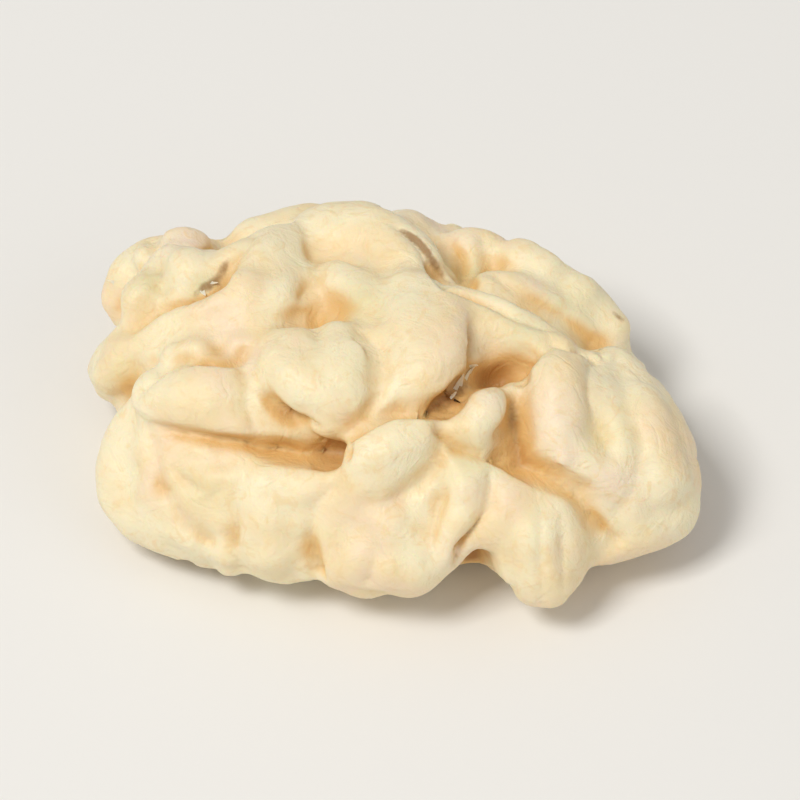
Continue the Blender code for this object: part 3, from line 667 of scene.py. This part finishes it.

# %% Tint some places
# Each tint holds: right, up, reach and strength. The rosy spots are the flesh's own pink, except the one at
# (3.5, -5.2), which is painted shade in the crease beside the bright front lump. The greenish spots are
# partly the flesh's own tint and partly painted shade: those at (3.9, 10.3), (11.8, 1.3) and (4.0, -0.2) lie
# in creases.
ROSY_TINT_AND_SHADE_SPOTS = [(-11.5, 12.3, 1.8, 0.8), (3.0, 6.4, 1.8, 0.4), (8.7, 2.4, 2.4, 0.6), (9.5, 0.2, 1.0, 0.7),
              (12.2, -1.4, 1.5, 0.7), (3.5, -5.2, 1.2, 0.6), (-12.9, 1.0, 1.4, 0.5), (5.6, 5.9, 1.2, 0.5),
              (-9.6, 7.2, 1.6, 0.3), (3.4, 12.4, 1.2, 0.5), (5.2, 3.4, 1.2, 0.4)]
GREENISH_TINT_AND_SHADE_SPOTS = [(3.9, 10.3, 1.2, 0.9), (7.0, 6.9, 1.6, 0.5), (-15.3, 4.4, 1.3, 0.5),
                  (-13.8, 9.9, 1.2, 0.5), (11.8, 1.3, 1.4, 0.5), (4.0, -0.2, 1.4, 0.5),
                  (-11.0, -1.6, 1.4, 0.4), (-2.0, 8.9, 1.6, 0.6), (10.0, 8.6, 1.8, 0.4),
                  (-10.9, 9.7, 1.0, 0.8), (-2.4, 5.0, 1.2, 0.25)]

keep_values(flesh.data, "rosy", tint_spots(flesh.data, ROSY_TINT_AND_SHADE_SPOTS, front))
keep_values(flesh.data, "greenish", tint_spots(flesh.data, GREENISH_TINT_AND_SHADE_SPOTS, front))
print("tinted", len(ROSY_TINT_AND_SHADE_SPOTS), "rosy and", len(GREENISH_TINT_AND_SHADE_SPOTS), "greenish spots")

# %% [markdown]
# ## The flesh's material
#
# Peeled walnut is never one colour: cream on the crests, golden where the flesh is thinner, and a little pink
# or green in broad patches. Painted shade turns the clefts orange to brown, and a few pink and green spots
# are painted shade too. One node group mixes those colours and also puts out a roughness and a height, so
# that the flesh and the shreds of skin can share it with their own values.

# %% Helpers for node groups
def new_node(tree, kind, **settings):
    """A new node of a kind, with its settings."""
    node = tree.nodes.new(kind)
    for name, value in settings.items():
        setattr(node, name, value)
    return node


def set_inputs(node, values):
    """Sets a node's own sockets, by their names."""
    for name, value in values.items():
        node.inputs[name].default_value = value


def noise_of(tree, vector, size, detail, roughness, distortion):
    """A noise whose blotches are about `size` millimetres wide."""
    node = new_node(tree, "ShaderNodeTexNoise")
    set_inputs(node, {"Scale": 1.0 / size, "Detail": detail})
    set_inputs(node, {"Roughness": roughness, "Distortion": distortion})
    tree.links.new(vector, node.inputs["Vector"])
    return node.outputs["Fac"]


def band(tree, value, low, high, top):
    """Nothing below `low`, `top` above `high`, and smooth between them."""
    node = new_node(tree, "ShaderNodeMapRange", interpolation_type="SMOOTHSTEP")
    set_inputs(node, {"From Min": low, "From Max": high, "To Min": 0.0, "To Max": top})
    tree.links.new(value, node.inputs["Value"])
    return node.outputs["Result"]


def combine(tree, operation, first, second):
    """Arithmetic on two values, each a socket or a number."""
    node = new_node(tree, "ShaderNodeMath", operation=operation)
    for socket, value in zip(node.inputs, (first, second)):
        if isinstance(value, (int, float)):
            socket.default_value = value
        else:
            tree.links.new(value, socket)
    return node.outputs["Value"]


def mix_colours(tree, amount, base, layer):
    """A layer of colour over a base, each a socket or a plain colour, by an amount."""
    node = new_node(tree, "ShaderNodeMix", data_type="RGBA")
    for name, value in (("Factor_Float", amount), ("A_Color", base), ("B_Color", layer)):
        socket = next(item for item in node.inputs if item.identifier == name)
        if isinstance(value, (int, float, tuple)):
            socket.default_value = value
        else:
            tree.links.new(value, socket)
    return next(item for item in node.outputs if item.identifier == "Result_Color")


def millimetres(tree):
    """Object coordinates counted in millimetres."""
    coordinates = new_node(tree, "ShaderNodeTexCoord")
    mapping = new_node(tree, "ShaderNodeMapping")
    mapping.inputs["Scale"].default_value = (1 / MM, 1 / MM, 1 / MM)
    tree.links.new(coordinates.outputs["Object"], mapping.inputs["Vector"])
    return mapping.outputs["Vector"]


def attribute_of(tree, name):
    """The number that the mesh keeps under a name."""
    return new_node(tree, "ShaderNodeAttribute", attribute_name=name).outputs["Fac"]


# %% Colours and patterns of the flesh
CREAM_FLESH = (0.95, 0.84, 0.58, 1.0)
GOLDEN_FLESH = (0.92, 0.74, 0.44, 1.0)
ROSY_FLESH = (0.93, 0.74, 0.57, 1.0)
GREENISH_FLESH = (0.76, 0.70, 0.40, 1.0)
VEIN_GOLD = (0.88, 0.66, 0.34, 1.0)
# Painted shade: the light that bounces and fades in the clefts, laid into the colour as orange, then brown.
CLEFT_SHADE_ORANGE = (0.76, 0.46, 0.15, 1.0)
CLEFT_SHADE_BROWN = (0.46, 0.20, 0.04, 1.0)
# Skin brown, also used as painted shade at the end of the left cleft.
SKIN_AND_SHADE_BROWN = (0.30, 0.14, 0.035, 1.0)
TORN_WHITE = (0.96, 0.90, 0.74, 1.0)

# Each noise holds: the size of its blotches in millimetres, detail, roughness and distortion.
BROAD_NOISE = (5.0, 3.0, 0.5, 0.0)
ROSY_NOISE = (5.0, 2.5, 0.5, 0.4)
SPECK_NOISE = (0.45, 3.0, 0.6, 0.0)
VEIN_NOISE = (1.1, 4.0, 0.6, 1.6)
RAGGED_NOISE = (0.9, 3.0, 0.5, 0.0)
WAX_NOISE = (0.9, 3.0, 0.5, 0.0)
GRAIN_NOISE = (0.25, 4.0, 0.7, 0.0)
WRINKLE_NOISE = (1.6, 3.0, 0.55, 0.8)

# Each band turns a value into an amount: where it starts, where it is full, and the full amount.
BROAD_BAND = (0.38, 0.66, 1.0)
ROSY_BAND = (0.50, 0.72, 0.6)
SPECK_BAND = (0.60, 0.72, 0.35)
VEIN_BAND = (0.50, 0.70, 0.5)
ORANGE_SHADE_BAND = (0.08, 0.40, 0.85)
BROWN_SHADE_BAND = (0.38, 0.66, 0.8)
SKIN_AND_SHADE_BAND = (-0.05, 0.45, 0.8)
WRINKLE_BAND = (0.0, 0.16, 0.3)

RAGGEDNESS = 0.8
WAX_ROUGHNESS = 0.33
WAX_VARIATION = 0.3
GRAIN_HEIGHT = 0.35
VEIN_HEIGHT = 0.4

# %% The group that colours walnut flesh
FLESH_INPUTS = {"Place": "NodeSocketVector", "Hollow": "NodeSocketFloat", "Pink": "NodeSocketFloat",
                "Green": "NodeSocketFloat", "Skin and shade": "NodeSocketFloat", "Cream": "NodeSocketColor",
                "Golden": "NodeSocketColor"}
FLESH_OUTPUTS = {"Colour": "NodeSocketColor", "Roughness": "NodeSocketFloat", "Height": "NodeSocketFloat"}


def flesh_colour(group, place, entry):
    """Cream to golden flesh, tinted, veined, with painted shade in hollows, skin brown along the lines."""
    broad = band(group, noise_of(group, place, *BROAD_NOISE), *BROAD_BAND)
    colour = mix_colours(group, broad, entry["Cream"], entry["Golden"])
    rosy = band(group, noise_of(group, place, *ROSY_NOISE), *ROSY_BAND)
    # Pink and green come partly from the flesh's own tints and partly from painted shade in a few creases.
    colour = mix_colours(group, combine(group, "MAXIMUM", rosy, entry["Pink"]), colour, ROSY_FLESH)
    colour = mix_colours(group, entry["Green"], colour, GREENISH_FLESH)
    specks = band(group, noise_of(group, place, *SPECK_NOISE), *SPECK_BAND)
    colour = mix_colours(group, specks, colour, entry["Golden"])
    veins = band(group, noise_of(group, place, *VEIN_NOISE), *VEIN_BAND)
    colour = mix_colours(group, veins, colour, VEIN_GOLD)

    # Painted shade: orange, then brown, the more closed in the spot is.
    colour = mix_colours(group, band(group, entry["Hollow"], *ORANGE_SHADE_BAND), colour, CLEFT_SHADE_ORANGE)
    colour = mix_colours(group, band(group, entry["Hollow"], *BROWN_SHADE_BAND), colour, CLEFT_SHADE_BROWN)
    # Skin brown along the drawn lines, which at the end of the left cleft is painted shade.
    ragged = combine(group, "MULTIPLY", noise_of(group, place, *RAGGED_NOISE), RAGGEDNESS)
    darkened = band(group, combine(group, "SUBTRACT", entry["Skin and shade"], ragged), *SKIN_AND_SHADE_BAND)
    return mix_colours(group, darkened, colour, SKIN_AND_SHADE_BROWN)


def flesh_height(group, place):
    """Swells along the veins, a fine grain, and wrinkles that wind where a noise crosses its middle."""
    swells = combine(group, "MULTIPLY", noise_of(group, place, *VEIN_NOISE), VEIN_HEIGHT)
    grain = combine(group, "MULTIPLY", noise_of(group, place, *GRAIN_NOISE), GRAIN_HEIGHT)
    winding = combine(group, "SUBTRACT", noise_of(group, place, *WRINKLE_NOISE), 0.5)
    wrinkles = band(group, combine(group, "ABSOLUTE", winding, 0.0), *WRINKLE_BAND)
    return combine(group, "ADD", combine(group, "ADD", swells, grain), wrinkles)


def walnut_flesh_group():
    """A node group: place and masks in, colour, roughness and height out."""
    group = bpy.data.node_groups.new("walnut flesh", "ShaderNodeTree")
    for name, kind in FLESH_INPUTS.items():
        group.interface.new_socket(name, in_out="INPUT", socket_type=kind)
    for name, kind in FLESH_OUTPUTS.items():
        group.interface.new_socket(name, in_out="OUTPUT", socket_type=kind)
    entry = new_node(group, "NodeGroupInput").outputs
    leave = new_node(group, "NodeGroupOutput").inputs
    place = entry["Place"]
    wax = combine(group, "MULTIPLY", noise_of(group, place, *WAX_NOISE), WAX_VARIATION)
    group.links.new(flesh_colour(group, place, entry), leave["Colour"])
    group.links.new(combine(group, "ADD", wax, WAX_ROUGHNESS), leave["Roughness"])
    group.links.new(flesh_height(group, place), leave["Height"])
    return group


flesh_group = walnut_flesh_group()
print("the group has", len(flesh_group.nodes), "nodes and gives a colour, a roughness and a height")

# %% The flesh material itself
def flesh_material():
    """Soft, waxy flesh that lets a little light in, coloured by what its mesh keeps for each vertex."""
    material = bpy.data.materials.new("waxy walnut flesh")
    material.use_nodes = True
    tree = material.node_tree
    shader = tree.nodes["Principled BSDF"]
    set_inputs(shader, {"Subsurface Weight": 0.25, "Subsurface Radius": (1.0, 0.5, 0.22), "IOR": 1.45,
                        "Subsurface Scale": 0.6 * MM, "Coat Weight": 0.08, "Coat Roughness": 0.35})
    colouring = new_node(tree, "ShaderNodeGroup", node_tree=flesh_group)
    set_inputs(colouring, {"Cream": CREAM_FLESH, "Golden": GOLDEN_FLESH})
    tree.links.new(millimetres(tree), colouring.inputs["Place"])
    tree.links.new(attribute_of(tree, "hollow"), colouring.inputs["Hollow"])
    tree.links.new(attribute_of(tree, "rosy"), colouring.inputs["Pink"])
    tree.links.new(attribute_of(tree, "greenish"), colouring.inputs["Green"])
    tree.links.new(attribute_of(tree, "skin_and_shade"), colouring.inputs["Skin and shade"])
    tree.links.new(colouring.outputs["Colour"], shader.inputs["Base Color"])
    tree.links.new(colouring.outputs["Roughness"], shader.inputs["Roughness"])
    bump = new_node(tree, "ShaderNodeBump")
    set_inputs(bump, {"Strength": 0.75, "Distance": 0.12 * MM})
    tree.links.new(colouring.outputs["Height"], bump.inputs["Height"])
    tree.links.new(bump.outputs["Normal"], shader.inputs["Normal"])
    return material


flesh.data.materials.clear()
flesh.data.materials.append(flesh_material())
flesh.data.shade_smooth()

# %% Hand the kernel over
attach(flesh, "root")
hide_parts("walnut_kernel")

# %% [markdown]
# ## Shreds of skin
#
# Peeling tears the brown skin off and lifts tiny pale slivers of flesh along the seams. Each sliver is a
# strip of a few dozen faces: a grid that is narrowed to a tip, curled, and given a thickness. Together they
# are one piece of their own, because their edges are far thinner than the voxels of the flesh.

# %% Where the slivers are
# Each sliver holds: right, up, the direction it points in the picture in degrees, and its length. Widths,
# lengths and heights are in millimetres.
SLIVERS = [
    (3.3, 3.9, 62, 0.9), (3.6, 4.2, 78, 0.7), (3.9, 4.5, 50, 0.8), (4.1, 4.8, 84, 0.6), (3.1, 3.5, 35, 0.5),
    (4.2, 5.2, 20, 0.5), (-10.9, 9.4, -60, 0.5), (-10.4, 9.9, -30, 0.5), (-15.9, 9.9, 160, 0.5),
]
SLIVER_STEPS = 6
SLIVER_WIDTH = 0.26
SLIVER_TAPER = 0.6
SLIVER_THICKNESS = 0.03
SLIVER_CURL = 0.3
SLIVER_LIFT = math.radians(10.0)
SLIVER_ROOT = 0.12
SLIVER_TIP = 0.02
SLIVER_RIPPLE = 0.05
RIPPLE_RATE = 7.0
RIPPLE_START = 3.0

# %% Shape one sliver and plant them all
def sliver_mesh(length):
    """A strip along +X that narrows to a tip and curls towards +Z, in metres."""
    bm = bmesh.new()
    bmesh.ops.create_grid(bm, x_segments=SLIVER_STEPS, y_segments=2, size=0.5)
    for vert in bm.verts:
        share = vert.co.x + 0.5
        width = SLIVER_WIDTH * (1 - share) ** SLIVER_TAPER + SLIVER_TIP
        ripple = SLIVER_RIPPLE * math.sin(RIPPLE_RATE * share + RIPPLE_START * length)
        curl = SLIVER_CURL * length * share * share
        vert.co = Vector((share * length, (vert.co.y + ripple) * width, curl))
    bmesh.ops.solidify(bm, geom=bm.faces[:], thickness=SLIVER_THICKNESS)
    bmesh.ops.scale(bm, vec=(MM, MM, MM), verts=bm.verts)
    mesh = bpy.data.meshes.new("sliver")
    bm.to_mesh(mesh)
    bm.free()
    return mesh


def sliver_place(tree, x, y, heading):
    """Where a sliver is rooted: its matrix, or nothing where the line of sight misses the flesh."""
    spot, normal, _, _ = tree.ray_cast(front.eye, sight(front, x, y))
    if spot is None:
        return None
    turn = math.radians(heading)
    along = front.rightward * math.cos(turn) + front.upward * math.sin(turn)
    along = (along - normal * along.dot(normal)).normalized()
    tilted = along * math.cos(SLIVER_LIFT) + normal * math.sin(SLIVER_LIFT)
    side = normal.cross(along)
    matrix = Matrix((tilted, side, tilted.cross(side))).transposed().to_4x4()
    matrix.translation = spot - tilted * (SLIVER_ROOT * MM)
    return matrix


tree = mesh_tree(flesh.data)
bm = bmesh.new()
for x, y, heading, length in SLIVERS:
    place = sliver_place(tree, x, y, heading)
    if place is not None:
        strip = sliver_mesh(length)
        strip.transform(place)
        bm.from_mesh(strip)
        bpy.data.meshes.remove(strip)
sliver_faces = bpy.data.meshes.new("skin_slivers")
bm.to_mesh(sliver_faces)
bm.free()
slivers = bpy.data.objects.new("skin_slivers", sliver_faces)
scene.collection.objects.link(slivers)
print("planted", len(SLIVERS), "slivers with", len(sliver_faces.polygons), "faces")

# %% Their material, and where they belong
def sliver_material():
    """Paler and drier than the flesh, and thin enough for light to pass."""
    material = bpy.data.materials.new("pale torn flesh")
    material.use_nodes = True
    tree = material.node_tree
    shader = tree.nodes["Principled BSDF"]
    set_inputs(shader, {"Subsurface Weight": 0.3, "Subsurface Radius": (1.0, 0.6, 0.3),
                        "Subsurface Scale": 0.4 * MM, "IOR": 1.45})
    colouring = new_node(tree, "ShaderNodeGroup", node_tree=flesh_group)
    set_inputs(colouring, {"Cream": TORN_WHITE, "Golden": CREAM_FLESH})
    set_inputs(colouring, {"Hollow": 0.0, "Pink": 0.0, "Green": 0.0, "Skin and shade": 0.0})
    tree.links.new(millimetres(tree), colouring.inputs["Place"])
    tree.links.new(colouring.outputs["Colour"], shader.inputs["Base Color"])
    tree.links.new(colouring.outputs["Roughness"], shader.inputs["Roughness"])
    return material


sliver_faces.materials.append(sliver_material())
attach(slivers, "root")

# %% [markdown]
# ## Floor and light
#
# The kernel stands on a plain pale floor under soft light. The key light comes from the upper left, as the
# shadows in the clefts show, and is large, so that its shadows have soft edges. The world itself glows a
# little, which fills the shadows the way a pale room does.

# %% Lay the floor
FLOOR_REACH = 1.5
FLOOR_COLOUR = (0.86, 0.85, 0.83, 1.0)

floor_mesh = bpy.data.meshes.new("floor")
bm = bmesh.new()
bmesh.ops.create_grid(bm, x_segments=1, y_segments=1, size=FLOOR_REACH)
bm.to_mesh(floor_mesh)
bm.free()
floor = bpy.data.objects.new("floor", floor_mesh)
scene.collection.objects.link(floor)
floor_material = bpy.data.materials.new("pale paper")
floor_material.use_nodes = True
paper = floor_material.node_tree.nodes["Principled BSDF"]
set_inputs(paper, {"Base Color": FLOOR_COLOUR, "Roughness": 0.9})
floor_mesh.materials.append(floor_material)
print("the floor is", 2 * FLOOR_REACH, "m wide")

# %% Hang the lights
# Places and sizes are in metres, counted to the right, up and towards the camera, and powers in watts.
KEY_PLACE = (-0.28, 0.24, 0.6)
KEY_SIZE = 0.24
KEY_POWER = 2.95
FILL_PLACE = (0.5, 0.0, 0.5)
FILL_SIZE = 0.5
FILL_POWER = 0.5
WARM_WHITE = (1.0, 0.98, 0.94)
SKY_COLOUR = (1.0, 0.99, 0.97, 1.0)
SKY_STRENGTH = 0.42


def soft_light(name, place, size, power):
    """A square light at a place given in the camera's directions, that faces the kernel."""
    light = bpy.data.objects.new(name, bpy.data.lights.new(name, "AREA"))
    light.data.size = size
    light.data.energy = power
    light.data.color = WARM_WHITE
    scene.collection.objects.link(light)
    across, up, towards = place
    light.location = front.rightward * across + front.upward * up + front.eyeward * towards
    light.rotation_euler = light.location.to_track_quat("Z", "Y").to_euler()


soft_light("key light", KEY_PLACE, KEY_SIZE, KEY_POWER)
soft_light("fill light", FILL_PLACE, FILL_SIZE, FILL_POWER)
world = bpy.data.worlds.new("pale room")
world.use_nodes = True
set_inputs(world.node_tree.nodes["Background"], {"Color": SKY_COLOUR, "Strength": SKY_STRENGTH})
scene.world = world
scene.view_settings.view_transform = "Standard"
print("hung a key light of", KEY_POWER, "W and a fill light of", FILL_POWER, "W")
